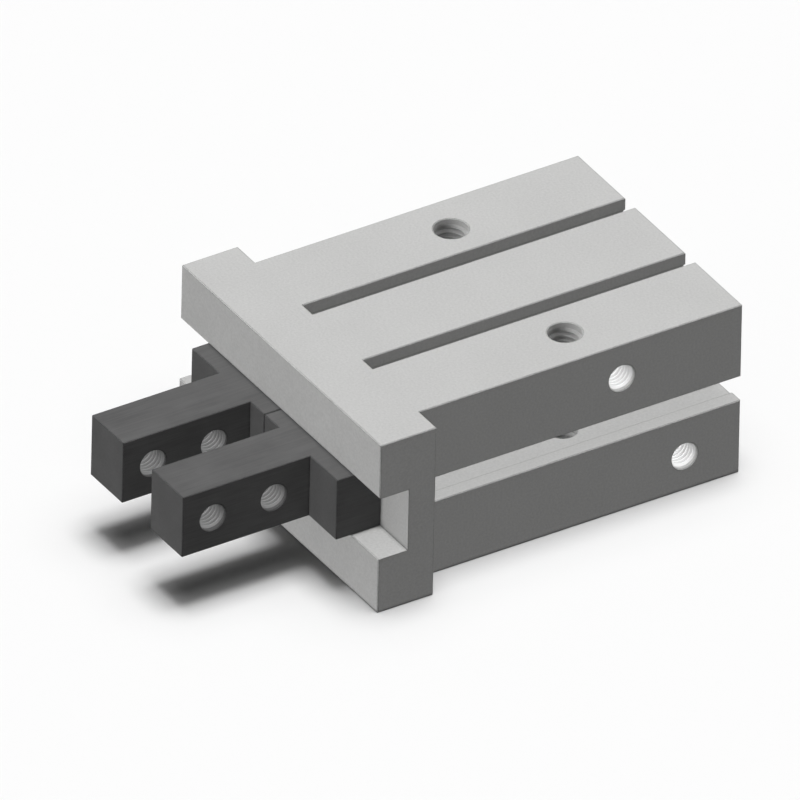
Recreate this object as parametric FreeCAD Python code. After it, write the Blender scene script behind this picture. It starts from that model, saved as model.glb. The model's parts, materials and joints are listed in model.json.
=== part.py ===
import FreeCAD, Part
import math
import os

# Parallel gripper with a pneumatic cylinder, 25 mm bore size.
# Lengths are in millimetres. X runs across the gripper along the finger
# travel, Y along it with the fingers at the negative end, and Z through its
# thickness. The origin is the middle of the flat rear face. The fingers are
# modelled closed, with the piston at the rear of its stroke.

# Outer block
body_width = 52.0
body_height = 33.6
body_length = 63.6
flange_width = 63.0
flange_thickness = 11.0
channel_height = 12.2
channel_depth = 5.75
block_edge = 0.15

# Switch slots in both wide faces
slot_offset = 9.5
slot_mouth = 3.1
slot_neck = 2.3
slot_undercut = 4.2
slot_depth = 4.2

# Switch grooves in both narrow faces
groove_mouth = 4.8
groove_neck = 2.7
groove_undercut = 5.8
groove_depth = 7.2

# Threads for mounting, in the wide faces and in the rear face
side_thread = 6.0
side_thread_core = 5.1
side_thread_depth = 12.0
side_thread_spacing = 36.0
side_thread_from_rear = 30.0
rear_thread = 5.0
rear_thread_depth = 6.5
rear_thread_spacing_x = 40.0
rear_thread_spacing_z = 22.0
hole_edge = 0.15
drill_point_angle = 118.0

# Air ports on the right side
port_thread = 5.0
port_thread_depth = 6.0
port_passage = 2.2
port_inside_bore_wall = 2.5
opening_port_from_cap = 1.2
closing_port_inside_piston = 0.4

# Cylinder, cap and clip
bore = 25.0
cap_seat = 26.0
pilot_depth = 3.5
cap_thickness = 4.8
clip_thickness = 1.2
clip_groove_depth = 0.6
clip_width = 2.0
clip_gap_angle = 50.0
clip_ear_radius = 1.7
clip_ear_hole = 1.6
clip_ear_from_gap = 1.4
gasket_section = 1.7
gasket_groove_width = 2.3
cap_recess = 17.0
cap_recess_depth = 1.0

# Piston and rod
piston_length = 13.6
piston_air_gap = 0.8
piston_clearance = 0.1
skirt_length = 2.6
skirt_inset = 2.0
nut_recess = 15.0
nut_recess_depth = 3.8
seal_groove_width = 2.4
seal_groove_depth = 2.2
seal_land = 0.6
seal_lip = 0.6
magnet_width = 2.6
magnet_depth = 1.6
guide_ring_width = 2.0
guide_ring_depth = 0.9
ring_spacing = 0.9
rod = 8.0
rod_spigot = 5.0
rod_stub_length = 4.0
nut_across_flats = 8.0
nut_height = 3.0
nut_chamfer = 0.3
nut_chamfer_angle = 30.0

# Rod seal and bumpers
rod_seal_pocket = 16.0
rod_seal_width = 2.9
rod_seal_lip = 1.0
retainer_thickness = 1.6
bumper_inner = 17.6
bumper_width = 2.4
bumper_depth = 1.2
front_air_gap = 1.4
rear_bumper_outer = 20.6
rear_bumper_depth = 1.0

# Bell cranks
finger_travel = 7.0
lever_pivot_offset = 12.4
lever_pivot_behind_floor = 6.73
finger_arm = 12.0
drive_arm = 9.2
drive_arm_reach = 11.4
lever_thickness = 4.0
lever_hub = 8.4
lever_root = 6.7
drive_arm_width = 4.9
drive_arm_corner = 0.8
lever_tip = 3.0
lever_neck = 2.2
shaft = 4.0
shaft_length = 11.0
bush_wall = 0.7
drive_pin = 2.5

# Crosshead on the rod
crosshead_width = 11.2
crosshead_height = 7.4
crosshead_front = 2.3
crosshead_rear = 7.8

# Guide rail
rail_length = 43.6
rail_height = 8.0
rail_thickness = 4.0
rail_window_margin = 0.1
rail_screw = 1.6
rail_screw_head = 3.0
rail_screw_head_height = 1.0
rail_screw_slot = 0.4
rail_screw_slot_depth = 0.5
rail_screw_grip = 4.0
rail_screw_offset = 19.6
rail_screw_spacing = 3.4
roller = 1.5
roller_length = 1.4
rollers_in_row = 6
roller_pitch = 2.0
roller_row_offset = 11.5
stop_pin = 1.0

# Fingers
finger_base_reach = 23.0
finger_base_step = 3.1
finger_length = 25.0
finger_thickness = 10.0
finger_gap = 8.9
finger_edge = 0.12
finger_thread = 5.0
finger_thread_from_tip = 6.0
finger_thread_spacing = 12.0

# Clearances
static_fit = 0.03
running_fit = 0.05
lever_play = 0.06
finger_side_gap = 0.1
finger_floor_gap = 0.1
finger_meeting_gap = 0.05
guide_gap = 0.3
guide_front_gap = 0.2
lever_side_gap = 0.25
swing_room = 0.3
sweep_room = 0.6
run_out = 1.0

# Directions
x_axis = FreeCAD.Vector(1, 0, 0)
y_axis = FreeCAD.Vector(0, 1, 0)
z_axis = FreeCAD.Vector(0, 0, 1)
origin = FreeCAD.Vector(0, 0, 0)

# Levels along Y that follow from the sizes above
flange_back_y = -body_length
flange_front_y = flange_back_y - flange_thickness
floor_y = flange_front_y + channel_depth
pivot_y = floor_y + lever_pivot_behind_floor
swing = math.asin(finger_travel / 2 / finger_arm)
stroke = 2 * drive_arm * math.tan(swing)
pin_y = pivot_y + drive_arm * math.tan(swing)
crosshead_front_y = pin_y - crosshead_front
crosshead_rear_y = pin_y + crosshead_rear
cavity_rear_y = crosshead_rear_y + swing_room
cap_rear_y = -(pilot_depth + clip_thickness + 2 * running_fit)
cap_front_y = cap_rear_y - cap_thickness
piston_rear_y = cap_front_y - piston_air_gap
piston_front_y = piston_rear_y - piston_length
bore_end_y = piston_front_y - stroke - front_air_gap
retainer_front_y = bore_end_y - retainer_thickness
seal_pocket_end_y = retainer_front_y - rod_seal_width
rail_front_y = floor_y - rail_thickness
track_y = floor_y - rail_thickness / 2
finger_hollow_y = rail_front_y - guide_front_gap
finger_front_y = flange_front_y - finger_base_step
finger_tip_y = finger_front_y - finger_length

# Distances from the middle that follow from the sizes above
bore_radius = bore / 2
seat_radius = cap_seat / 2
rod_radius = rod / 2
rod_hole_radius = rod_radius + running_fit
spigot_radius = rod_spigot / 2
piston_radius = bore_radius - piston_clearance
body_top = body_height / 2
body_side = body_width / 2
channel_half = channel_height / 2
finger_half = channel_half - finger_side_gap
rail_half = rail_height / 2
guide_half = rail_half + guide_gap
track_z = rail_half + guide_gap / 2
track_side = roller + 2 * static_fit
lever_half = lever_thickness / 2
lever_slot_half = lever_half + lever_side_gap
pin_offset = lever_pivot_offset - drive_arm
row_length = (rollers_in_row - 1) * roller_pitch + roller
tip_radius = lever_tip / 2
window_outer = lever_pivot_offset + finger_travel / 2 + tip_radius + rail_window_margin
window_inner = lever_pivot_offset - finger_travel / 2 - tip_radius - rail_window_margin
tip_closed_x = lever_pivot_offset - finger_travel / 2
cavity_half_width = crosshead_width / 2 + sweep_room
cavity_half_height = crosshead_height / 2 + lever_side_gap


def block(x_range, y_range, z_range):
    """Box between two limits on each axis."""
    corner = FreeCAD.Vector(min(x_range), min(y_range), min(z_range))
    sides = [max(limits) - min(limits) for limits in (x_range, y_range, z_range)]
    return Part.makeBox(sides[0], sides[1], sides[2], corner)


def rod_between(start, end, radius):
    """Round bar from one point to another."""
    return Part.makeCylinder(radius, (end - start).Length, start, end - start)


def filled(points):
    """Flat face inside a closed outline."""
    return Part.Face(Part.makePolygon(points + points[:1]))


def turned(profile):
    """Solid turned about the Y axis from (radius, y) points."""
    points = [FreeCAD.Vector(radius, level, 0) for radius, level in profile]
    return Part.Solid(filled(points).revolve(origin, y_axis, 360))


def ring(inner, outer, y_start, y_end):
    """Turned ring of rectangular section."""
    return turned([(inner, y_start), (outer, y_start), (outer, y_end), (inner, y_end)])


def along_y(profile, y_start, y_end):
    """Bar along Y from an outline of (x, z) points."""
    points = [FreeCAD.Vector(x, y_start, z) for x, z in profile]
    return filled(points).extrude(FreeCAD.Vector(0, y_end - y_start, 0))


def along_x(profile, x_start, x_end):
    """Bar along X from an outline of (y, z) points."""
    points = [FreeCAD.Vector(x_start, y, z) for y, z in profile]
    return filled(points).extrude(FreeCAD.Vector(x_end - x_start, 0, 0))


def aimed(shape, place, direction):
    """Move a shape built from the origin along +Y to a place and a direction."""
    shape.Placement = FreeCAD.Placement(place, FreeCAD.Rotation(y_axis, direction))
    return shape


def vee_track(x_start, x_end, face):
    """Square bar on its edge: the room between two facing V grooves along X."""
    reach = track_side / math.sqrt(2)
    middle = face * track_z
    return along_x([
        (track_y - reach, middle), (track_y, middle - reach),
        (track_y + reach, middle), (track_y, middle + reach),
    ], x_start, x_end)


def drill_point(radius):
    """Height of the cone that a drill leaves at the end of its hole."""
    return radius / math.tan(math.radians(drill_point_angle / 2))


def blind_hole(mouth, inward, radius, depth):
    """Cutter for a hole with a chamfered mouth and a drill point."""
    wide = radius + hole_edge
    cutter = turned([
        (0, -run_out), (wide, -run_out), (wide, 0), (radius, hole_edge),
        (radius, depth), (0, depth + drill_point(radius)),
    ])
    return aimed(cutter, mouth, inward)


def stepped_hole(mouth, inward, radius, depth, core_radius, core_depth):
    """Cutter for a hole that goes on at a smaller radius."""
    wide = radius + hole_edge
    step = drill_point(radius) - drill_point(core_radius)
    cutter = turned([
        (0, -run_out), (wide, -run_out), (wide, 0), (radius, hole_edge),
        (radius, depth), (core_radius, depth + step),
        (core_radius, core_depth), (0, core_depth),
    ])
    return aimed(cutter, mouth, inward)


def through_hole(mouth, inward, radius, length):
    """Cutter for a hole through a wall, chamfered at both ends."""
    wide = radius + hole_edge
    cutter = turned([
        (0, -run_out), (wide, -run_out), (wide, 0), (radius, hole_edge),
        (radius, length - hole_edge), (wide, length), (wide, length + run_out),
        (0, length + run_out),
    ])
    return aimed(cutter, mouth, inward)


def one_solid(shape):
    """The single solid in a result, without seams between flush faces."""
    return shape.removeSplitter().Solids[0]


def mirrored(shape):
    """The same piece on the other side of the middle plane."""
    return shape.mirror(origin, x_axis)


def groove_outline(mouth, neck, undercut, depth):
    """Outline of an undercut slot as (across, level) points, level 0 at its mouth."""
    half = mouth / 2
    wide = undercut / 2
    side = [
        (half + block_edge + run_out, run_out), (half, -block_edge),
        (half, -neck), (wide, -neck), (wide, -depth),
    ]
    return side + [(-across, level) for across, level in reversed(side)]


def switch_slots():
    """Cutters for the slots in the wide faces and the grooves in the narrow ones."""
    slot = groove_outline(slot_mouth, slot_neck, slot_undercut, slot_depth)
    groove = groove_outline(groove_mouth, groove_neck, groove_undercut, groove_depth)
    cutters = []
    for side in (-1, 1):
        narrow = [(side * (body_side + level), across) for across, level in groove]
        cutters.append(along_y(narrow, run_out, flange_back_y))
        for face in (-1, 1):
            wide = [(side * slot_offset + across, face * (body_top + level)) for across, level in slot]
            cutters.append(along_y(wide, run_out, flange_back_y))
    return cutters


def mounting_holes():
    """Cutters for the threads in the wide faces and in the rear face."""
    cutters = []
    for side in (-1, 1):
        for face in (-1, 1):
            mouth = FreeCAD.Vector(side * side_thread_spacing / 2, -side_thread_from_rear, face * body_top)
            cutters.append(stepped_hole(mouth, z_axis * -face, side_thread / 2, side_thread_depth,
                                        side_thread_core / 2, body_top))
            mouth = FreeCAD.Vector(side * rear_thread_spacing_x / 2, 0, face * rear_thread_spacing_z / 2)
            cutters.append(blind_hole(mouth, y_axis * -1, rear_thread / 2, rear_thread_depth))
    return cutters


def air_ports():
    """Cutters for the two ports, each a thread with a passage into the bore."""
    height = bore_radius - port_inside_bore_wall
    opening_port_y = cap_front_y - opening_port_from_cap
    closing_port_y = piston_front_y + closing_port_inside_piston
    cutters = []
    for level, z in ((opening_port_y, -height), (closing_port_y, height)):
        mouth = FreeCAD.Vector(body_side, level, z)
        cutters.append(stepped_hole(mouth, x_axis * -1, port_thread / 2, port_thread_depth,
                                    port_passage / 2, body_side))
    return cutters


def cylinder_bore():
    """Cutter for the pilot, clip groove, cap seat, bore, seal pocket and rod hole."""
    groove_radius = seat_radius + clip_groove_depth
    rod_reach_y = crosshead_rear_y - stroke - swing_room
    return turned([
        (0, run_out), (seat_radius + hole_edge, run_out), (seat_radius + hole_edge, 0),
        (seat_radius, -hole_edge), (seat_radius, -pilot_depth),
        (groove_radius, -pilot_depth), (groove_radius, cap_rear_y),
        (seat_radius, cap_rear_y), (seat_radius, cap_front_y),
        (bore_radius, cap_front_y), (bore_radius, bore_end_y),
        (rod_seal_pocket / 2, bore_end_y), (rod_seal_pocket / 2, seal_pocket_end_y),
        (rod_hole_radius, seal_pocket_end_y), (rod_hole_radius, rod_reach_y), (0, rod_reach_y),
    ])


def mechanism_cavity():
    """Cutters for the crosshead's room, the lever slot and the shaft seats."""
    crosshead_room = block((-cavity_half_width, cavity_half_width), (cavity_rear_y, floor_y - run_out),
                           (-cavity_half_height, cavity_half_height))
    hub_rear_y = pivot_y + lever_hub / 2 + sweep_room
    lever_slot = block((-window_outer, window_outer), (hub_rear_y, floor_y - run_out),
                       (-lever_slot_half, lever_slot_half))
    cutters = [crosshead_room, lever_slot]
    seat_radius_x = shaft / 2 + static_fit
    seat_half = shaft_length / 2 + static_fit
    for side in (-1, 1):
        centre = side * lever_pivot_offset
        cutters.append(rod_between(FreeCAD.Vector(centre, pivot_y, -seat_half),
                                   FreeCAD.Vector(centre, pivot_y, seat_half), seat_radius_x))
        cutters.append(block((centre - seat_radius_x, centre + seat_radius_x),
                             (pivot_y, floor_y - run_out), (-seat_half, seat_half)))
    return cutters


def rail_screw_places():
    """Middle of each rail screw in the plane of the channel floor."""
    return [
        FreeCAD.Vector(side * rail_screw_offset, floor_y, face * rail_screw_spacing / 2)
        for side in (-1, 1)
        for face in (-1, 1)
    ]


def make_housing():
    """Aluminium block with its flange, channel, slots, threads, ports and bore."""
    flange = block((-flange_width / 2, flange_width / 2), (flange_front_y, flange_back_y),
                   (-body_top, body_top))
    flange = flange.makeChamfer(block_edge, flange.Edges)
    rear = block((-body_side, body_side), (0, flange_back_y - flange_thickness / 2), (-body_top, body_top))
    open_edges = [edge for edge in rear.Edges if edge.BoundBox.YMax > -run_out]
    rear = rear.makeChamfer(block_edge, open_edges)
    channel = along_x([
        (flange_front_y - run_out, channel_half + block_edge + run_out),
        (flange_front_y + block_edge, channel_half), (floor_y, channel_half),
        (floor_y, -channel_half), (flange_front_y + block_edge, -channel_half),
        (flange_front_y - run_out, -channel_half - block_edge - run_out),
    ], -flange_width, flange_width)
    bumper_groove = ring(bumper_inner / 2, bumper_inner / 2 + bumper_width, bore_end_y + run_out,
                         bore_end_y - bumper_depth)
    cutters = [channel, cylinder_bore(), bumper_groove]
    cutters += switch_slots() + mounting_holes() + air_ports() + mechanism_cavity()
    for place in rail_screw_places():
        cutters.append(rod_between(place + y_axis * -run_out, place + y_axis * (rail_screw_grip + static_fit),
                                   rail_screw / 2 + static_fit))
    return one_solid(flange.fuse(rear).cut(cutters))


def make_end_cap():
    """Disc that closes the cylinder, with its gasket groove and bumper groove."""
    outer = seat_radius - running_fit
    middle = (cap_rear_y + cap_front_y) / 2
    groove_bottom = seat_radius - gasket_section
    half = gasket_groove_width / 2
    recess = cap_recess / 2
    bumper_outer = rear_bumper_outer / 2 + static_fit
    bumper_in = rear_bumper_outer / 2 - bumper_width - static_fit
    bumper_y = cap_front_y + rear_bumper_depth
    return turned([
        (0, cap_rear_y - cap_recess_depth), (recess, cap_rear_y - cap_recess_depth), (recess, cap_rear_y),
        (outer - block_edge, cap_rear_y), (outer, cap_rear_y - block_edge),
        (outer, middle + half), (groove_bottom, middle + half),
        (groove_bottom, middle - half), (outer, middle - half),
        (outer, cap_front_y), (bumper_outer, cap_front_y), (bumper_outer, bumper_y),
        (bumper_in, bumper_y), (bumper_in, cap_front_y), (0, cap_front_y),
    ])


def make_cap_gasket():
    """Rubber ring between the cap and the housing."""
    middle = (cap_rear_y + cap_front_y) / 2
    half = gasket_groove_width / 2 - static_fit
    return ring(seat_radius - gasket_section + static_fit, seat_radius - static_fit, middle - half,
                middle + half)


def make_retaining_clip():
    """Spring clip for a bore: an open ring with two eyes for pliers."""
    outer = seat_radius + clip_groove_depth - static_fit
    rear_y = cap_rear_y + clip_thickness
    body = ring(outer - clip_width, outer, cap_rear_y, rear_y)
    reach = 2 * outer
    half_gap = math.radians(clip_gap_angle / 2)
    wedge = along_y([
        (0, 0), (-reach * math.sin(half_gap), -reach * math.cos(half_gap)),
        (reach * math.sin(half_gap), -reach * math.cos(half_gap)),
    ], cap_rear_y - run_out, rear_y + run_out)
    body = body.cut(wedge)
    eye_circle = outer - clip_width
    ear_angle = half_gap + clip_ear_from_gap / eye_circle
    for side in (-1, 1):
        x = side * eye_circle * math.sin(ear_angle)
        z = -eye_circle * math.cos(ear_angle)
        foot = FreeCAD.Vector(x, cap_rear_y, z)
        body = body.fuse(Part.makeCylinder(clip_ear_radius, clip_thickness, foot, y_axis))
        body = body.cut(Part.makeCylinder(clip_ear_hole / 2, clip_thickness, foot, y_axis))
    return one_solid(body)


def make_rear_bumper():
    """Rubber ring in the cap that the piston comes to rest against."""
    outer = rear_bumper_outer / 2
    return ring(outer - bumper_width, outer, cap_front_y + rear_bumper_depth,
                piston_rear_y + running_fit)


def make_front_bumper():
    """Rubber ring in the front wall that the piston stops against."""
    inner = bumper_inner / 2 + static_fit
    outer = bumper_inner / 2 + bumper_width - static_fit
    stop_y = piston_front_y - stroke - running_fit
    return ring(inner, outer, bore_end_y - bumper_depth, stop_y)


def make_rod_seal():
    """Lip seal round the rod, open towards the pressure side."""
    inner = rod_radius + running_fit
    outer = rod_seal_pocket / 2 - static_fit
    middle = (inner + outer) / 2
    return turned([
        (inner, seal_pocket_end_y), (outer, seal_pocket_end_y), (outer, retainer_front_y),
        (outer - rod_seal_lip, retainer_front_y), (middle, retainer_front_y - rod_seal_width / 2),
        (inner + rod_seal_lip, retainer_front_y), (inner, retainer_front_y),
    ])


def make_seal_retainer():
    """Pressed ring that keeps the rod seal in its pocket."""
    return ring(rod_radius + guide_gap, rod_seal_pocket / 2 - static_fit, retainer_front_y, bore_end_y)


def piston_levels():
    """Start and end of the seal, magnet and guide ring grooves along the piston."""
    seal_start = piston_rear_y - skirt_length - seal_land
    seal_end = seal_start - seal_groove_width
    magnet_start = seal_end - seal_land - ring_spacing
    magnet_end = magnet_start - magnet_width
    guide_start = magnet_end - ring_spacing
    guide_end = guide_start - guide_ring_width
    return seal_start, seal_end, magnet_start, magnet_end, guide_start, guide_end


def make_piston():
    """Turned piston with its skirt, nut recess and three ring grooves."""
    seal_start, seal_end, magnet_start, magnet_end, guide_start, guide_end = piston_levels()
    skirt = piston_radius - skirt_inset
    hole = spigot_radius + static_fit
    seal_bottom = piston_radius - seal_groove_depth
    magnet_bottom = piston_radius - magnet_depth
    guide_bottom = piston_radius - guide_ring_depth
    recess_y = piston_rear_y - nut_recess_depth
    return turned([
        (nut_recess / 2, piston_rear_y), (skirt, piston_rear_y), (skirt, piston_rear_y - skirt_length),
        (piston_radius, piston_rear_y - skirt_length), (piston_radius, seal_start),
        (seal_bottom, seal_start), (seal_bottom, seal_end), (piston_radius, seal_end),
        (piston_radius, magnet_start), (magnet_bottom, magnet_start),
        (magnet_bottom, magnet_end), (piston_radius, magnet_end),
        (piston_radius, guide_start), (guide_bottom, guide_start),
        (guide_bottom, guide_end), (piston_radius, guide_end),
        (piston_radius, piston_front_y + block_edge), (piston_radius - block_edge, piston_front_y),
        (hole, piston_front_y), (hole, recess_y), (nut_recess / 2, recess_y),
    ])


def make_piston_seal():
    """Rubber lip ring that seals the piston in the bore."""
    start, end = piston_levels()[:2]
    inner = piston_radius - seal_groove_depth + static_fit
    outer = bore_radius - running_fit
    waist = outer - seal_lip
    middle = (start + end) / 2
    high = start - static_fit
    low = end + static_fit
    return turned([
        (inner, low), (waist, low), (outer, low + seal_lip / 2), (waist, middle),
        (outer, high - seal_lip / 2), (waist, high), (inner, high),
    ])


def make_magnet_ring():
    """Ring magnet that works the switches in the slots."""
    start, end = piston_levels()[2:4]
    return ring(piston_radius - magnet_depth + static_fit, piston_radius - static_fit,
                start - static_fit, end + static_fit)


def make_guide_ring():
    """Plastic ring that carries the piston in the bore."""
    start, end = piston_levels()[4:6]
    return ring(piston_radius - guide_ring_depth + static_fit, bore_radius - running_fit,
                start - static_fit, end + static_fit)


def make_piston_rod():
    """Ground rod with a spigot through the piston and a stub in the crosshead."""
    nut_end_y = piston_rear_y - nut_recess_depth + nut_height
    stub_y = crosshead_rear_y - rod_stub_length
    return turned([
        (0, nut_end_y), (spigot_radius - block_edge, nut_end_y), (spigot_radius, nut_end_y - block_edge),
        (spigot_radius, piston_front_y), (rod_radius, piston_front_y),
        (rod_radius, crosshead_rear_y + block_edge), (rod_radius - block_edge, crosshead_rear_y),
        (spigot_radius, crosshead_rear_y), (spigot_radius, stub_y + block_edge),
        (spigot_radius - block_edge, stub_y), (0, stub_y),
    ])


def make_piston_nut():
    """Hexagon nut that holds the piston on the rod."""
    seat_y = piston_rear_y - nut_recess_depth
    corner = nut_across_flats / math.sqrt(3)
    angles = [math.radians(60 * corner_index) for corner_index in range(6)]
    outline = [(corner * math.cos(angle), corner * math.sin(angle)) for angle in angles]
    nut = along_y(outline, seat_y, seat_y + nut_height)
    chamfer_reach = nut_chamfer / math.tan(math.radians(nut_chamfer_angle))
    dome = turned([
        (0, seat_y), (corner, seat_y), (corner, seat_y + nut_height - nut_chamfer),
        (corner - chamfer_reach, seat_y + nut_height), (0, seat_y + nut_height),
    ])
    hole = rod_between(FreeCAD.Vector(0, seat_y, 0), FreeCAD.Vector(0, seat_y + nut_height, 0),
                       spigot_radius + static_fit)
    return one_solid(nut.common(dome).cut(hole))


def make_crosshead():
    """Fork on the rod that holds the two drive pins."""
    half_width = crosshead_width / 2
    half_height = crosshead_height / 2
    fork = block((-half_width, half_width), (crosshead_front_y, crosshead_rear_y),
                 (-half_height, half_height))
    fork = fork.makeChamfer(block_edge, fork.Edges)
    arm_sweep = drive_arm_width / 2 / math.cos(swing) + (half_width - pin_offset) * math.tan(swing)
    slot_end_y = pin_y + arm_sweep + swing_room
    slot = block((-crosshead_width, crosshead_width), (crosshead_front_y - run_out, slot_end_y),
                 (-lever_slot_half, lever_slot_half))
    stub_hole = rod_between(FreeCAD.Vector(0, crosshead_rear_y + run_out, 0),
                            FreeCAD.Vector(0, crosshead_rear_y - rod_stub_length - static_fit, 0),
                            spigot_radius + static_fit)
    cutters = [slot, stub_hole]
    for side in (-1, 1):
        cutters.append(rod_between(FreeCAD.Vector(side * pin_offset, pin_y, -half_height - run_out),
                                   FreeCAD.Vector(side * pin_offset, pin_y, half_height + run_out),
                                   drive_pin / 2 + static_fit))
    return one_solid(fork.cut(cutters))


def make_drive_pins():
    """Two hardened pins across the crosshead."""
    half_length = crosshead_height / 2 - static_fit
    return [
        rod_between(FreeCAD.Vector(side * pin_offset, pin_y, -half_length),
                    FreeCAD.Vector(side * pin_offset, pin_y, half_length), drive_pin / 2)
        for side in (-1, 1)
    ]


def lever_outline():
    """Flat outline of the right lever with its pivot at the origin, halfway through its swing."""
    hub = Part.Face(Part.Wire(Part.makeCircle(lever_hub / 2)))
    tip_centre = FreeCAD.Vector(0, -finger_arm, 0)
    tip = Part.Face(Part.Wire(Part.makeCircle(tip_radius, tip_centre)))
    shoulder_y = -finger_arm + tip_radius + lever_neck / 2
    root_half = lever_root / 2
    finger_side = filled([
        FreeCAD.Vector(-root_half, 0, 0), FreeCAD.Vector(-lever_neck / 2, shoulder_y, 0),
        FreeCAD.Vector(-lever_neck / 2, -finger_arm, 0), FreeCAD.Vector(lever_neck / 2, -finger_arm, 0),
        FreeCAD.Vector(lever_neck / 2, shoulder_y, 0), FreeCAD.Vector(root_half, 0, 0),
    ])
    half = drive_arm_width / 2
    flank = half - drive_arm_corner
    shoulder = drive_arm_corner - drive_arm_reach
    drive_side = filled([
        FreeCAD.Vector(0, half, 0), FreeCAD.Vector(shoulder, half, 0),
        FreeCAD.Vector(-drive_arm_reach, flank, 0), FreeCAD.Vector(-drive_arm_reach, -flank, 0),
        FreeCAD.Vector(shoulder, -half, 0), FreeCAD.Vector(0, -half, 0),
    ])
    return hub.fuse([tip, finger_side, drive_side]).removeSplitter().Faces[0]


def make_lever():
    """Right bell crank in its closed position."""
    lever = lever_outline().extrude(FreeCAD.Vector(0, 0, lever_thickness))
    lever.translate(FreeCAD.Vector(0, 0, -lever_half))
    slot_half = drive_pin / 2 + lever_play
    slot_start = -drive_arm + slot_half + swing_room
    slot = block((slot_start, -drive_arm_reach - run_out), (-slot_half, slot_half), (-lever_half, lever_half))
    bush_hole = rod_between(FreeCAD.Vector(0, 0, -lever_half), FreeCAD.Vector(0, 0, lever_half),
                            shaft / 2 + running_fit + bush_wall + static_fit)
    lever = one_solid(lever.cut([slot, bush_hole]))
    return lever_at_rest(lever)


def lever_at_rest(shape):
    """Turn a piece of the right lever to its closed position at the pivot."""
    shape.rotate(origin, z_axis, -math.degrees(swing))
    shape.translate(FreeCAD.Vector(lever_pivot_offset, pivot_y, 0))
    return shape


def make_lever_bush():
    """Plain bearing pressed into the right lever."""
    inner = shaft / 2 + running_fit
    outer = inner + bush_wall
    sleeve = rod_between(FreeCAD.Vector(0, 0, -lever_half), FreeCAD.Vector(0, 0, lever_half), outer)
    hole = rod_between(FreeCAD.Vector(0, 0, -lever_half), FreeCAD.Vector(0, 0, lever_half), inner)
    return lever_at_rest(sleeve.cut(hole))


def make_lever_shaft():
    """Shaft of the right lever, trapped between the housing and the rail's lugs."""
    bar = rod_between(FreeCAD.Vector(lever_pivot_offset, pivot_y, -shaft_length / 2),
                      FreeCAD.Vector(lever_pivot_offset, pivot_y, shaft_length / 2), shaft / 2)
    return bar.makeChamfer(block_edge, [edge for edge in bar.Edges if edge.Closed])


def make_guide_rail():
    """Hardened rail on the channel floor, with V tracks, lever windows and lugs."""
    half_length = rail_length / 2
    rail = block((-half_length, half_length), (rail_front_y, floor_y), (-rail_half, rail_half))
    ends = [edge for edge in rail.Edges if edge.BoundBox.XLength < run_out]
    rail = rail.makeChamfer(block_edge, ends)
    lug_half = shaft / 2 - running_fit
    lug_end_y = pivot_y - shaft / 2 - static_fit
    lugs = []
    cutters = []
    for side in (-1, 1):
        centre = side * lever_pivot_offset
        cutters.append(block((side * window_inner, side * window_outer),
                             (rail_front_y - run_out, floor_y + run_out),
                             (-lever_slot_half, lever_slot_half)))
        cutters.append(vee_track(-rail_length, rail_length, side))
        for face in (-1, 1):
            lugs.append(block((centre - lug_half, centre + lug_half), (lug_end_y, floor_y - run_out),
                              (face * (lever_slot_half + static_fit), face * rail_half)))
    for place in rail_screw_places():
        front = FreeCAD.Vector(place.x, rail_front_y, place.z)
        head_seat = front + y_axis * (rail_screw_head_height + finger_floor_gap)
        cutters.append(rod_between(front - y_axis, place + y_axis, rail_screw / 2 + running_fit))
        cutters.append(rod_between(front - y_axis, head_seat, rail_screw_head / 2 + running_fit))
    return one_solid(rail.fuse(lugs).cut(cutters))


def make_rail_screws():
    """Four slotted screws that hold the rail."""
    screws = []
    for place in rail_screw_places():
        seat_y = rail_front_y + rail_screw_head_height + finger_floor_gap
        top_y = seat_y - rail_screw_head_height
        end_y = floor_y + rail_screw_grip
        head = rail_screw_head / 2
        shank = rail_screw / 2
        screw = turned([
            (0, top_y), (head, top_y), (head, seat_y), (shank, seat_y), (shank, end_y), (0, end_y),
        ])
        slot = block((-head, head), (top_y, top_y + rail_screw_slot_depth),
                     (-rail_screw_slot / 2, rail_screw_slot / 2))
        screw = one_solid(screw.cut(slot))
        screw.translate(FreeCAD.Vector(place.x, 0, place.z))
        screws.append(screw)
    return screws


def roller_stop_places():
    """Place along X of the two stops of a roller row, in the closed right finger."""
    beyond = guide_gap + stop_pin / 2
    inner = roller_row_offset - finger_travel / 2 - row_length / 2 - beyond
    outer = roller_row_offset + row_length / 2 + beyond
    return inner, outer


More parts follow.
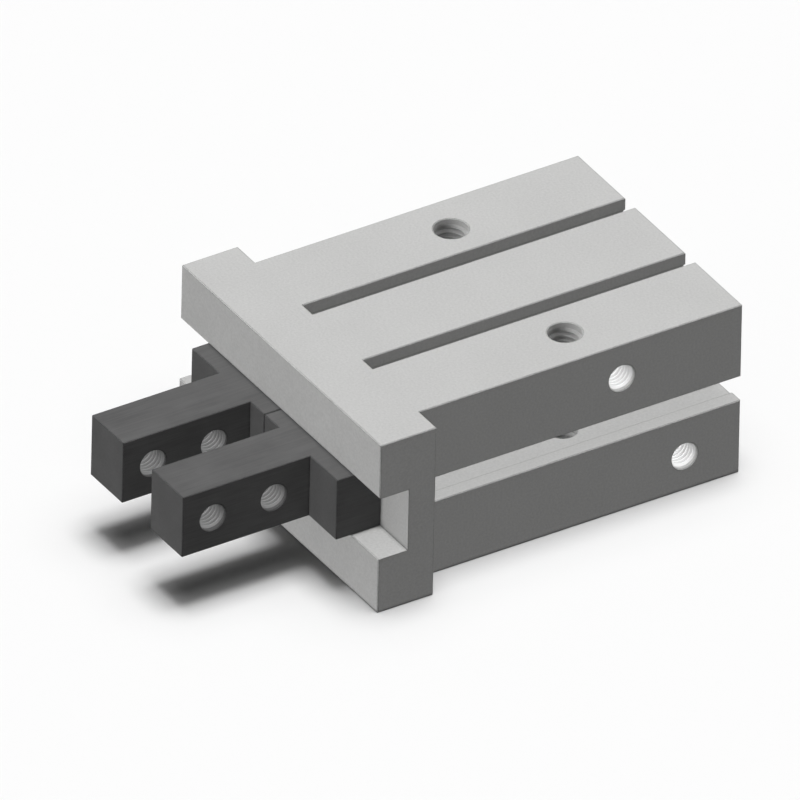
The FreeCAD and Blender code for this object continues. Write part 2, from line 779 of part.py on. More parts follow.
def make_finger():
    """Right finger: a base that runs on the rail and a prong with two threads."""
    inner = finger_meeting_gap
    prong_inner = finger_gap / 2
    prong_outer = prong_inner + finger_thickness
    base = block((inner, finger_base_reach), (floor_y - finger_floor_gap, finger_front_y),
                 (-finger_half, finger_half))
    base = base.makeChamfer(finger_edge, base.Edges)
    prong = block((prong_inner, prong_outer), (finger_front_y + finger_edge, finger_tip_y),
                  (-finger_half, finger_half))
    root_y = prong.BoundBox.YMax - finger_edge
    prong = prong.makeChamfer(finger_edge, [edge for edge in prong.Edges if edge.BoundBox.YMin < root_y])
    base = base.fuse(prong)
    end_wall = rail_length / 2 + finger_side_gap
    hollow = block((inner - run_out, end_wall), (floor_y + run_out, finger_hollow_y),
                   (-guide_half, guide_half))
    pocket_end_y = pivot_y - finger_arm - tip_radius - finger_side_gap
    pocket_half = tip_radius + lever_play
    pocket = block((tip_closed_x - pocket_half, tip_closed_x + pocket_half),
                   (finger_hollow_y + run_out, pocket_end_y), (-lever_slot_half, lever_slot_half))
    cutters = [hollow, pocket]
    for face in (-1, 1):
        cutters.append(vee_track(inner - run_out, end_wall, face))
        for x in roller_stop_places():
            cutters.append(rod_between(FreeCAD.Vector(x, track_y, face * rail_half),
                                       FreeCAD.Vector(x, track_y, face * (finger_half + run_out)),
                                       stop_pin / 2 + static_fit))
    for index in range(2):
        mouth = FreeCAD.Vector(prong_outer, finger_tip_y + finger_thread_from_tip
                               + index * finger_thread_spacing, 0)
        cutters.append(through_hole(mouth, x_axis * -1, finger_thread / 2, finger_thickness))
    return one_solid(base.cut(cutters))


def make_guide_rollers():
    """Two rows of crossed rollers between the right finger and the rail."""
    row_start = roller_row_offset - (row_length - roller) / 2
    rollers = []
    for face in (-1, 1):
        for index in range(rollers_in_row):
            lean = 1 if index % 2 else -1
            axis = FreeCAD.Vector(0, lean, face)
            axis.normalize()
            centre = FreeCAD.Vector(row_start + index * roller_pitch, track_y, face * track_z)
            half = axis * (roller_length / 2)
            rollers.append(rod_between(centre - half, centre + half, roller / 2))
    return rollers


def make_roller_stops():
    """Pins in the right finger that keep the roller rows in their tracks."""
    reach = track_side / math.sqrt(2) - stop_pin / 2 - finger_side_gap
    inner_end = track_z - reach
    outer_end = finger_half - static_fit
    return [
        rod_between(FreeCAD.Vector(x, track_y, face * inner_end),
                    FreeCAD.Vector(x, track_y, face * outer_end), stop_pin / 2)
        for face in (-1, 1)
        for x in roller_stop_places()
    ]


def export(node, shapes):
    """Write one node, made of one solid or of several like ones."""
    solids = shapes if isinstance(shapes, list) else [shapes]
    for solid in solids:
        if not solid.isValid() or solid.Volume <= 0:
            raise ValueError("bad solid in " + node)
    whole = solids[0] if len(solids) == 1 else Part.makeCompound(solids)
    whole.exportStep("parts/" + node + ".step")


def export_pair(name, shapes):
    """Write a right-hand node and its mirror image on the left."""
    solids = shapes if isinstance(shapes, list) else [shapes]
    export(name + "_right", solids)
    export(name + "_left", [mirrored(solid) for solid in solids])


os.makedirs("parts", exist_ok=True)
export("housing", make_housing())
export("end_cap", make_end_cap())
export("cap_gasket", make_cap_gasket())
export("retaining_clip", make_retaining_clip())
export("rear_bumper", make_rear_bumper())
export("front_bumper", make_front_bumper())
export("rod_seal", make_rod_seal())
export("seal_retainer", make_seal_retainer())
export("piston", make_piston())
export("piston_seal", make_piston_seal())
export("magnet_ring", make_magnet_ring())
export("guide_ring", make_guide_ring())
export("piston_rod", make_piston_rod())
export("piston_nut", make_piston_nut())
export("crosshead", make_crosshead())
export("drive_pins", make_drive_pins())
export("guide_rail", make_guide_rail())
export("rail_screws", make_rail_screws())
export_pair("lever", make_lever())
export_pair("lever_bush", make_lever_bush())
export_pair("lever_shaft", make_lever_shaft())
export_pair("finger", make_finger())
export_pair("guide_rollers", make_guide_rollers())
export_pair("roller_stops", make_roller_stops())
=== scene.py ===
import json
import logging
import math
from dataclasses import dataclass
from dataclasses import field
from dataclasses import replace
from enum import Enum
from typing import ClassVar

import bpy
from mathutils import Matrix
from mathutils import Vector


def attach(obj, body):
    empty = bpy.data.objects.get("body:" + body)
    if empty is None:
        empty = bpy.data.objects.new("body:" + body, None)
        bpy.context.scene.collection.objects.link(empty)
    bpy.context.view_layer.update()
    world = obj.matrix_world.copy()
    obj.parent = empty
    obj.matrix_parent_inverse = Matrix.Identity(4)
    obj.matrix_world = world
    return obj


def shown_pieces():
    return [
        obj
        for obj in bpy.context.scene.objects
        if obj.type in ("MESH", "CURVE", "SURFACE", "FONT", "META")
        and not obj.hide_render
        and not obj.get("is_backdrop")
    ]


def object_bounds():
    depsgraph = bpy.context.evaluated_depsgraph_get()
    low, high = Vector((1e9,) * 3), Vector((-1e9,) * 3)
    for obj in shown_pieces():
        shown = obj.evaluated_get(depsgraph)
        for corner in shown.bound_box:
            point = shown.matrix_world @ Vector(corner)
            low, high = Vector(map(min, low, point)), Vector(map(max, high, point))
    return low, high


# Looks of a pneumatic parallel gripper with two steel fingers on an anodised aluminium block.
# Lengths are in metres unless a name ends in _mm. X runs across the gripper along the finger
# travel, Y along it with the fingers at the negative end, and Z up through its thickness.

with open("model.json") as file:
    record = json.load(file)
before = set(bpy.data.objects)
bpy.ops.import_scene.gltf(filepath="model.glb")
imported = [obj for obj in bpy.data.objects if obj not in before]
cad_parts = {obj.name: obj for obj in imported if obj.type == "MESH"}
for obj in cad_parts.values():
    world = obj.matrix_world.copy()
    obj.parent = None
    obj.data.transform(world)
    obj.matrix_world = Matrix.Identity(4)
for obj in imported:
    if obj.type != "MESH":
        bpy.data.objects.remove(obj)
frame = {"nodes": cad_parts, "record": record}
model_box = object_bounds()

MM = 0.001
log = logging.getLogger("gripper")


def linear(colour: str) -> tuple[float, float, float, float]:
    """Turns an sRGB colour into linear light by the curve of the sRGB standard.

    Args:
        colour: Hex colour such as "#C7C7C7".

    Returns:
        Red, green, blue and an opacity of one.
    """
    shares = [int(colour[start:start + 2], 16) / 255 for start in (1, 3, 5)]
    red, green, blue = [share / 12.92 if share <= 0.04045 else ((share + 0.055) / 1.055) ** 2.4
                        for share in shares]
    return red, green, blue, 1.0


def direction(azimuth: float, elevation: float) -> Vector:
    """Turns two angles into a direction away from the gripper.

    Args:
        azimuth: Turn about the upright axis in degrees, with 0 at -Y and 90 at +X.
        elevation: Height above level in degrees.

    Returns:
        The direction, one unit long.
    """
    turn = math.radians(azimuth)
    height = math.radians(elevation)
    return Vector((math.sin(turn) * math.cos(height), -math.cos(turn) * math.cos(height),
                   math.sin(height)))


def add_object(name: str, data: bpy.types.ID) -> bpy.types.Object:
    """Adds an object to the scene.

    Args:
        name: Name of the object.
        data: Mesh, lamp or camera that it shows.

    Returns:
        The new object.
    """
    made = bpy.data.objects.new(name, data)
    bpy.context.scene.collection.objects.link(made)
    return made


def empty_tree(owner: bpy.types.Material | bpy.types.World) -> bpy.types.NodeTree:
    """Gives a material or a world an empty node tree.

    Args:
        owner: What the tree belongs to.

    Returns:
        The tree.
    """
    owner.use_nodes = True
    owner.node_tree.nodes.clear()
    return owner.node_tree


def add_node(tree: bpy.types.NodeTree, kind: str, settings: dict | None = None,
             links: dict | None = None) -> bpy.types.Node:
    """Adds one node to a tree, sets its options and fills its inputs.

    Args:
        tree: Tree that receives the node.
        kind: Blender's type name of the node.
        settings: Options of the node by attribute name.
        links: Inputs by socket name or number, each a plain value or another node's output.

    Returns:
        The new node.
    """
    node = tree.nodes.new(kind)
    for option, value in (settings or {}).items():
        setattr(node, option, value)
    for socket, value in (links or {}).items():
        if isinstance(value, bpy.types.NodeSocket):
            tree.links.new(value, node.inputs[socket])
        else:
            node.inputs[socket].default_value = value
    return node


def map_range(tree: bpy.types.NodeTree, value: bpy.types.NodeSocket, span: tuple[float, float],
              results: tuple[float, float] = (0.0, 1.0)) -> bpy.types.NodeSocket:
    """Turns one span of values into another and holds the ends.

    Args:
        tree: Tree that receives the node.
        value: Value to turn.
        span: Values that become the two results.
        results: Results at the ends of the span.

    Returns:
        The turned value.
    """
    node = add_node(tree, "ShaderNodeMapRange", None,
                    {0: value, 1: span[0], 2: span[1], 3: results[0], 4: results[1]})
    return node.outputs[0]


def mix_colours(tree: bpy.types.NodeTree, share: bpy.types.NodeSocket,
                first: bpy.types.NodeSocket | tuple, second: str) -> bpy.types.NodeSocket:
    """Fades one colour into another.

    Args:
        tree: Tree that receives the node.
        share: Share of the second colour.
        first: Colour at a share of 0.
        second: Hex colour at a share of 1.

    Returns:
        The mixed colour.
    """
    node = add_node(tree, "ShaderNodeMix", {"data_type": "RGBA"},
                    {0: share, 6: first, 7: linear(second)})
    return node.outputs[2]


class Lay(Enum):
    """Way in which a tool, a wheel or blasting has left its marks on a surface."""

    EVEN = "no direction"
    LENGTHWISE = "lines along Y"
    CROSSWISE = "lines along X"
    UPRIGHT = "lines along Z"
    TURNED = "rings about the Y axis"


@dataclass(frozen=True)
class Finish:
    """A surface finish that all the others start from: a tone, clouds in it and fine marks.

    Attributes:
        bevel_samples: Rays that look for edges and gaps at each point.
        mark_detail: Finer layers in the noise of the marks.
        mark_roughness: Strength of those layers.
        cloud_detail: Finer layers in the noise of the clouds.
        cloud_roughness: Strength of those layers.
        tone_span: Noise values that give the duller and the main colour.
        sheen_span: Noise values that give the smoothest and the roughest spots.
        edge_span: Cosines of the turn at which the edge strip starts and is full.
        break_span: Cloud values between which the edge strip grows to its full strength.
        break_low: Share of the edge strip that is left where it is weakest.
        crevice_shade_span: Shares of open sky at which the painted shade in gaps starts and is
            full.
        name: Name of the material.
        slot: Material slot of the record that the finish belongs to.
        colour: Main colour.
        shade: Duller colour that the clouds and marks fade to.
        roughness: Middle roughness.
        roughness_spread: How far the marks push the roughness either way.
        lay: Direction of the marks.
        mark_width_mm: Width of one mark.
        mark_length_mm: Length of one mark.
        mark_depth_mm: Depth of the marks.
        cloud_mm: Size of the soft changes of tone.
        rounding_mm: Radius that every edge is rounded to.
        edge_mm: Width of the strip along every edge that looks unlike the faces.
        edge_colour: Colour of that strip.
        edge_strength: How strongly the strip shows.
        crevice_shade_mm: Width of the gaps and inner corners that get painted shade.
        crevice_shade_colour: Colour of the painted shade.
        crevice_shade_strength: How strongly the painted shade shows.
        cloud_share: Share of the clouds in the changes of tone; the marks have the rest.
    """

    bevel_samples: ClassVar[int] = 4
    mark_detail: ClassVar[float] = 2.0
    mark_roughness: ClassVar[float] = 0.6
    cloud_detail: ClassVar[float] = 4.0
    cloud_roughness: ClassVar[float] = 0.55
    tone_span: ClassVar[tuple[float, float]] = (0.3, 0.7)
    sheen_span: ClassVar[tuple[float, float]] = (0.25, 0.75)
    edge_span: ClassVar[tuple[float, float]] = (0.995, 0.93)
    break_span: ClassVar[tuple[float, float]] = (0.0, 0.6)
    break_low: ClassVar[float] = 0.6
    crevice_shade_span: ClassVar[tuple[float, float]] = (0.62, 0.25)

    name: str
    slot: str
    colour: str
    shade: str
    roughness: float
    roughness_spread: float = 0.05
    lay: Lay = Lay.EVEN
    mark_width_mm: float = 0.3
    mark_length_mm: float = 0.3
    mark_depth_mm: float = 0.004
    cloud_mm: float = 9.0
    rounding_mm: float = 0.04
    edge_mm: float = 0.14
    edge_colour: str = "#FFFFFF"
    edge_strength: float = 0.0
    crevice_shade_mm: float = 1.2
    crevice_shade_colour: str = "#141413"
    crevice_shade_strength: float = 0.5
    cloud_share: float = 0.4

    def place_mm(self, tree: bpy.types.NodeTree) -> bpy.types.NodeSocket:
        """Returns the place on the piece in millimetres, which moves with the piece."""
        place = add_node(tree, "ShaderNodeTexCoord")
        scaled = add_node(tree, "ShaderNodeVectorMath", {"operation": "SCALE"},
                          {0: place.outputs["Object"], "Scale": 1 / MM})
        return scaled.outputs[0]

    def rounded_normal(self, tree: bpy.types.NodeTree, radius_mm: float) -> bpy.types.NodeSocket:
        """Returns the normal that the surface would have if its edges had this radius."""
        bevel = add_node(tree, "ShaderNodeBevel", {"samples": self.bevel_samples},
                         {"Radius": radius_mm * MM})
        return bevel.outputs[0]

    def marks(self, tree: bpy.types.NodeTree,
              place: bpy.types.NodeSocket) -> bpy.types.NodeSocket:
        """Draws the tool marks.

        Args:
            tree: Tree of the material.
            place: Place on the piece in millimetres.

        Returns:
            Height of the marks from 0 to 1.
        """
        across = 1 / self.mark_width_mm
        along = 1 / self.mark_length_mm
        if self.lay is Lay.TURNED:
            axes = add_node(tree, "ShaderNodeSeparateXYZ", None, {0: place})
            flat = add_node(tree, "ShaderNodeCombineXYZ", None,
                            {0: axes.outputs[0], 2: axes.outputs[2]})
            radius = add_node(tree, "ShaderNodeVectorMath", {"operation": "LENGTH"},
                              {0: flat.outputs[0]})
            level = add_node(tree, "ShaderNodeMath", {"operation": "ADD"},
                             {0: radius.outputs["Value"], 1: axes.outputs[1]})
            noise = add_node(tree, "ShaderNodeTexNoise", {"noise_dimensions": "1D"},
                             {"W": level.outputs[0], "Scale": across, "Detail": self.mark_detail})
            return noise.outputs[0]
        stretch = {
            Lay.EVEN: (across, across, across),
            Lay.LENGTHWISE: (across, along, across),
            Lay.CROSSWISE: (along, across, across),
            Lay.UPRIGHT: (across, across, along),
        }[self.lay]
        grid = add_node(tree, "ShaderNodeVectorMath", {"operation": "MULTIPLY"},
                        {0: place, 1: stretch})
        noise = add_node(tree, "ShaderNodeTexNoise", None,
                         {"Vector": grid.outputs[0], "Scale": 1.0, "Detail": self.mark_detail,
                          "Roughness": self.mark_roughness})
        return noise.outputs[0]

    def clouds(self, tree: bpy.types.NodeTree,
               place: bpy.types.NodeSocket) -> bpy.types.NodeSocket:
        """Draws the soft changes of tone.

        Args:
            tree: Tree of the material.
            place: Place on the piece in millimetres.

        Returns:
            Strength of the clouds from 0 to 1.
        """
        noise = add_node(tree, "ShaderNodeTexNoise", None,
                         {"Vector": place, "Scale": 1 / self.cloud_mm,
                          "Detail": self.cloud_detail, "Roughness": self.cloud_roughness})
        return map_range(tree, noise.outputs[0], self.tone_span)

    def edges(self, tree: bpy.types.NodeTree,
              clouds: bpy.types.NodeSocket) -> bpy.types.NodeSocket:
        """Finds the narrow strips along the edges, which look unlike the faces.

        Args:
            tree: Tree of the material.
            clouds: Clouds that break the strips up.

        Returns:
            Strength from 0 on flat stretches to at most the finish's edge strength.
        """
        plain = add_node(tree, "ShaderNodeNewGeometry")
        turn = add_node(tree, "ShaderNodeVectorMath", {"operation": "DOT_PRODUCT"},
                        {0: self.rounded_normal(tree, self.edge_mm), 1: plain.outputs["Normal"]})
        strip = map_range(tree, turn.outputs["Value"], self.edge_span, (0.0, self.edge_strength))
        broken = map_range(tree, clouds, self.break_span, (self.break_low, 1.0))
        strength = add_node(tree, "ShaderNodeMath", {"operation": "MULTIPLY"},
                            {0: strip, 1: broken})
        return strength.outputs[0]

    def painted_crevice_shade(self, tree: bpy.types.NodeTree) -> bpy.types.NodeSocket:
        """Paints shade into narrow gaps and inner corners, darker the less open sky they see.

        Args:
            tree: Tree of the material.

        Returns:
            Strength of the painted shade from 0 on open faces to at most the finish's strength of
            it.
        """
        room = add_node(tree, "ShaderNodeAmbientOcclusion", {"samples": self.bevel_samples},
                        {"Distance": self.crevice_shade_mm * MM})
        return map_range(tree, room.outputs["AO"], self.crevice_shade_span,
                         (0.0, self.crevice_shade_strength))

    def dress_shader(self, shader: bpy.types.Node) -> None:
        """Sets what only one kind of finish has; a plain one has nothing more.

        Args:
            shader: Shader of the material.
        """

    def material(self) -> bpy.types.Material:
        """Builds the material.

        Returns:
            The material, made once and shared by every piece with this finish.
        """
        made = bpy.data.materials.get(self.name)
        if made:
            return made
        made = bpy.data.materials.new(self.name)
        tree = empty_tree(made)
        place = self.place_mm(tree)
        marks = self.marks(tree, place)
        clouds = self.clouds(tree, place)
        tone = add_node(tree, "ShaderNodeMix", {"data_type": "FLOAT"},
                        {0: self.cloud_share, 2: map_range(tree, marks, self.tone_span),
                         3: clouds})
        faces = mix_colours(tree, tone.outputs[0], linear(self.shade), self.colour)
        edged = mix_colours(tree, self.edges(tree, clouds), faces, self.edge_colour)
        # Painted shade darkens the gaps and inner corners and stands in for the shade that falls
        # there.
        colour = mix_colours(tree, self.painted_crevice_shade(tree), edged, self.crevice_shade_colour)
        rough = map_range(tree, marks, self.sheen_span,
                          (self.roughness - self.roughness_spread,
                           self.roughness + self.roughness_spread))
        bump = add_node(tree, "ShaderNodeBump", None,
                        {"Strength": 1.0, "Distance": self.mark_depth_mm * MM, "Height": marks,
                         "Normal": self.rounded_normal(tree, self.rounding_mm)})
        shader = add_node(tree, "ShaderNodeBsdfPrincipled", None,
                          {"Base Color": colour, "Roughness": rough, "Normal": bump.outputs[0]})
        self.dress_shader(shader)
        add_node(tree, "ShaderNodeOutputMaterial", None, {"Surface": shader.outputs[0]})
        return made


@dataclass(frozen=True)
class Metal(Finish):
    """A bare or coated metal.

    Attributes:
        metallic: Share of the light that the surface reflects as a metal does.
    """

    metallic: float = 0.6

    def dress_shader(self, shader: bpy.types.Node) -> None:
        """Makes the shader metallic."""
        shader.inputs["Metallic"].default_value = self.metallic


@dataclass(frozen=True)
class Moulded(Finish):
    """A moulded or pressed material that isn't metal.

    Attributes:
        ior: Refractive index.
        milkiness: Share of the light that enters the surface and scatters there.
    """

    ior: float = 1.5
    milkiness: float = 0.0

    def dress_shader(self, shader: bpy.types.Node) -> None:
        """Sets the refractive index and how far light enters."""
        shader.inputs["IOR"].default_value = self.ior
        shader.inputs["Subsurface Weight"].default_value = self.milkiness
        shader.inputs["Subsurface Scale"].default_value = MM


# Hard anodised aluminium, blasted before the bath. The oxide is matt and light grey, so the eye
# sees flat even faces with a very fine grain, and a thin dark line along every edge. The grain
# is 0.05 mm on the real block and is drawn eight times as coarse, or it wouldn't show.
# Its gaps and inner corners get strong painted shade, which stands in for the shade that falls
# there.
BODY_ANODISE = Metal("hard_anodised_aluminium", "anodised_body", "#CFCFCE", "#BEBEBD", 0.52, 0.08,
                     mark_width_mm=0.4, mark_depth_mm=0.008, cloud_mm=14.0, cloud_share=0.2,
                     edge_mm=0.2, edge_colour="#3C3C3B", edge_strength=0.95, crevice_shade_mm=1.6,
                     crevice_shade_strength=0.85, metallic=0.5)

# The mounting threads have a paler copy of the same oxide. It is painted light that makes the
# threads deep in their holes look lit, and it has only faint painted shade between the ridges.
BODY_THREAD_PAINTED_LIGHT = replace(BODY_ANODISE, name="anodised_thread_painted_light", colour="#EFEFEE", shade="#E2E2E1",
                      rounding_mm=0.02, edge_strength=0.0, crevice_shade_strength=0.1)

# The end cap is turned bar, anodised in the same bath, and keeps faint rings from the tool. The
# feed of 0.1 mm is drawn at 0.35 mm.
CAP_ANODISE = Metal("turned_anodised_aluminium", "anodised_cap", "#BEBEC0", "#B0B0B3", 0.42, 0.06,
                    lay=Lay.TURNED, mark_width_mm=0.35, cloud_mm=8.0, edge_colour="#D6D6D6",
                    edge_strength=0.4, metallic=0.7)

# The piston is bare turned aluminium, bright with clear rings.
PISTON_ALUMINIUM = Metal("turned_aluminium", "turned_aluminium", "#DADADC", "#C8C8CB", 0.28, 0.08,
                         lay=Lay.TURNED, mark_depth_mm=0.006, cloud_mm=6.0)

# The port threads are cut after anodising, so their flanks are bare and catch every light. The
# mounting threads are cut before it.
THREAD_ALUMINIUM = Metal("fresh_cut_aluminium", "turned_aluminium", "#FAFAFA", "#EDEDED", 0.5,
                         mark_width_mm=0.15, mark_depth_mm=0.002, cloud_mm=2.0, rounding_mm=0.02,
                         crevice_shade_strength=0.1, metallic=0.15)

# Martensitic stainless steel for the fingers, hardened to a dark grey skin and ground along
# their length. The eye sees a dense grey with fine long lines and nearly black edges.
FINGER_STEEL = Metal("hardened_ground_steel", "finger_steel", "#727272", "#5E5E5E", 0.46, 0.08,
                     lay=Lay.LENGTHWISE, mark_width_mm=0.32, mark_length_mm=9.0,
                     mark_depth_mm=0.006, cloud_mm=7.0, edge_mm=0.2, edge_colour="#222222",
                     edge_strength=0.85, metallic=0.55)

# The tapped threads in the fingers are bright where the tap has cut through the dark skin.
THREAD_STEEL = Metal("fresh_cut_steel", "finger_steel", "#C0C0C0", "#AFAFAF", 0.45, 0.06,
                     mark_width_mm=0.15, mark_depth_mm=0.002, cloud_mm=2.0, rounding_mm=0.02)

# Rail, pins and shafts are through hardened and ground, a cool grey with short fine lines.
GROUND_STEEL = Metal("hardened_steel_ground", "hardened_steel", "#C2C2C5", "#B2B2B6", 0.34, 0.06,
                     lay=Lay.CROSSWISE, mark_width_mm=0.2, mark_length_mm=5.0,
                     mark_depth_mm=0.001, cloud_mm=5.0, edge_colour="#CFCFD2", edge_strength=0.4)

# Rollers are lapped until they mirror, with hardly a mark.
BEARING_STEEL = Metal("lapped_bearing_steel", "bearing_steel", "#C9C9CE", "#BDBDC3", 0.1, 0.03,
                      mark_width_mm=0.1, mark_depth_mm=0.0005, cloud_mm=2.0, metallic=0.9)

# The bell cranks are hardened and tumbled, a brownish grey from tempering.
LEVER_STEEL = Metal("tempered_lever_steel", "lever_steel", "#9C9896", "#898583", 0.38, 0.07,
                    mark_width_mm=0.25, cloud_mm=4.0, edge_colour="#B4B2B0", edge_strength=0.5)

# Nut, crosshead, screws and stops are machined steel with a thin oil film.
PLAIN_STEEL = Metal("machined_steel", "plain_steel", "#B2B1B0", "#A09F9F", 0.33, 0.07,
                    lay=Lay.UPRIGHT, mark_width_mm=0.18, mark_length_mm=2.5, mark_depth_mm=0.003,
                    cloud_mm=3.5, edge_colour="#CDCDCD", edge_strength=0.35)

# The clip is stamped spring steel with a black phosphate skin that holds a little oil.
SPRING_STEEL = Metal("phosphated_spring_steel", "spring_steel", "#46464A", "#36363A", 0.48, 0.08,
                     mark_width_mm=0.2, mark_depth_mm=0.005, cloud_mm=3.0, edge_colour="#77777B",
                     edge_strength=0.6)

# Hard chrome on the rod, ground round and polished.
CHROME = Metal("hard_chrome", "chromed_rod", "#D2D3D8", "#C6C7CD", 0.09, 0.03, lay=Lay.TURNED,
               mark_width_mm=0.2, mark_depth_mm=0.0006, cloud_mm=5.0, metallic=0.9)

# Sintered bronze bushes, warm brown with fine dark pores full of oil.
BRONZE = Metal("sintered_bronze", "bronze", "#B98F56", "#7E5F38", 0.44, 0.1, mark_width_mm=0.18,
               mark_depth_mm=0.006, cloud_mm=1.5)

# Nitrile rubber seals, black and slightly glossy with grease.
NITRILE = Moulded("nitrile_rubber", "nitrile_rubber", "#242424", "#191919", 0.42, 0.08,
                  mark_width_mm=0.2, cloud_mm=3.0, ior=1.52)

# The bumpers are a harder rubber, matt black with a chalky bloom.
BUMPER = Moulded("bumper_rubber", "bumper_rubber", "#343432", "#262625", 0.68, 0.08,
                 mark_depth_mm=0.006, cloud_mm=2.5, ior=1.52)

# The ring magnet is ferrite powder pressed in plastic, a dull charcoal with a fine sparkle.
MAGNET = Moulded("bonded_ferrite", "magnet", "#4B4845", "#393634", 0.55, 0.14, mark_width_mm=0.12,
                 mark_depth_mm=0.005, cloud_mm=2.0, ior=1.6)

# The guide ring is turned acetal, milky white and smooth.
ACETAL = Moulded("turned_acetal", "acetal", "#E4E1D8", "#D8D4C8", 0.36, lay=Lay.TURNED,
                 mark_depth_mm=0.003, cloud_mm=4.0, ior=1.48, milkiness=0.2)


@dataclass(frozen=True)
class TappedHole:
    """The helical ridge of the thread in one hole. The wall behind it is in the solid model.

    Attributes:
        steps_per_turn: Straight steps that one turn of the helix is made of.
        run_in_steps: Steps in which the ridge rises from the wall at either end.
        engagement: Height of the ridge as a share of the pitch.
        root_share: Half the width of the ridge at the wall as a share of the pitch.
        crest_share: Half the width of its crest as a share of the pitch.
        overlap: How far the ridge reaches into the wall behind it.
        smooth_angle: Steepest corner between two faces that is shaded round, in degrees.
        name: Name of the piece.
        mouth: Middle of the hole in the face that it starts from.
        inward: Direction into the material.
        radius: Nominal radius of the thread.
        pitch: Distance from one turn to the next.
        length: Threaded length from the face.
        lead_in: Depth of the chamfer at the mouth, where no thread is.
        body: Body that the thread moves with.
        finish: Finish of the cut thread.
    """

    steps_per_turn: ClassVar[int] = 48
    run_in_steps: ClassVar[int] = 16
    engagement: ClassVar[float] = 0.45
    root_share: ClassVar[float] = 0.44
    crest_share: ClassVar[float] = 0.1
    overlap: ClassVar[float] = 0.015 * MM
    smooth_angle: ClassVar[float] = 35.0

    name: str
    mouth: Vector
    inward: Vector
    radius: float
    pitch: float
    length: float
    lead_in: float
    body: str
    finish: Finish

    def profile(self, height: float) -> list[tuple[float, float]]:
        """Outline of the ridge.

        Args:
            height: How far the ridge stands in from the wall.

        Returns:
            Four points, each a radius and a shift along the hole.
        """
        wall = self.radius + self.overlap
        crest = self.radius - height
        root = self.root_share * self.pitch
        tip = self.crest_share * self.pitch
        return [(wall, -root), (crest, -tip), (crest, tip), (wall, root)]

    def build(self) -> None:
        """Sweeps the ridge along its helix and lets it ride on its body."""
        turn = self.inward.orthogonal().normalized()
        side = self.inward.cross(turn)
        first = self.lead_in + self.root_share * self.pitch
        turns = (self.length - self.root_share * self.pitch - first) / self.pitch
        steps = int(turns * self.steps_per_turn)
        full = self.engagement * self.pitch
        points = []
        for step in range(steps + 1):
            angle = 2 * math.pi * step / self.steps_per_turn
            outward = turn * math.cos(angle) + side * math.sin(angle)
            depth = first + self.pitch * step / self.steps_per_turn
            height = full * min(1.0, step / self.run_in_steps, (steps - step) / self.run_in_steps)
            for radius, shift in self.profile(height):
                points.append(self.mouth + outward * radius + self.inward * (depth + shift))
        corners = len(self.profile(full))
        faces = []
        for step in range(steps):
            for corner in range(corners):
                here = step * corners + corner
                beside = step * corners + (corner + 1) % corners
                faces.append((here, beside, beside + corners, here + corners))
        mesh = bpy.data.meshes.new(self.name)
        mesh.from_pydata(points, [], faces)
        mesh.shade_smooth()
        mesh.set_sharp_from_angle(angle=math.radians(self.smooth_angle))
        mesh.materials.append(self.finish.material())
        thread = add_object(self.name, mesh)
        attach(thread, self.body)
        log.info("%s: %d faces", self.name, len(faces))


def mount(name: str) -> dict:
    """Finds a fastening place in the record.

    Args:
        name: Name of the mount.

    Returns:
        The mount with its place, direction and sizes.
    """
    return next(entry for entry in frame["record"]["mounts"] if entry["name"] == name)


class Assembly:
    """A group of pieces that are dressed and, where they need it, detailed together."""

    finishes: dict[str, Finish] = {}

    def dress(self) -> None:
        """Gives every piece of the model in this group its finish."""
        for node, finish in self.finishes.items():
            piece = frame["nodes"][node]
            piece.data.materials.clear()
            piece.data.materials.append(finish.material())
            log.info("%s: %s", node, finish.name)

    def build(self) -> None:
        """Adds the pieces that the solid model leaves out; a plain group has none."""


